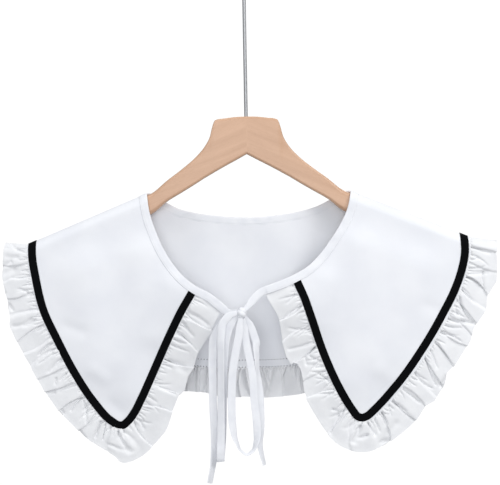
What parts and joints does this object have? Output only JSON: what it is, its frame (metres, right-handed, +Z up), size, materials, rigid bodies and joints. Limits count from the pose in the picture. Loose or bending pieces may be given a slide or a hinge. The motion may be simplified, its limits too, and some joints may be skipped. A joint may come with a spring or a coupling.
{
  "type": "detachable peter pan collar on a hanger",
  "caption": "White cotton collar with wide pointed lapels, a black ribbon trim, a gathered ruffle edge and a tied bow, hung over a wooden hanger with a wire hook.",
  "frame": {"origin": "inner top of the hanger's hook, where a rail holds it", "axes": "+Z up along the hook's stem, the collar's front faces -Y, +X to the viewer's right when looking at the front"},
  "size_m": [0.4471, 0.0433, 0.4893],
  "materials": {
    "poplin": "matt white cotton poplin",
    "ribbon": "matt black woven ribbon",
    "beech": "smooth varnished beech",
    "wire": "plated steel wire"
  },
  "bodies": {
    "root": {"front_left": "poplin", "front_right": "poplin", "back": "poplin", "neck_binding": "poplin", "ruffle_left": "poplin", "ruffle_right": "poplin", "ruffle_back": "poplin", "trim_left": "ribbon", "trim_right": "ribbon", "trim_back": "ribbon", "tie_neck_left": "poplin", "tie_neck_right": "poplin", "tie_knot": "poplin", "bow_loop_left": "poplin", "bow_loop_right": "poplin", "tie_tail_left": "poplin", "tie_tail_right": "poplin", "hanger_wood": "beech", "hanger_hook": "wire"}
  },
  "joints": []
}
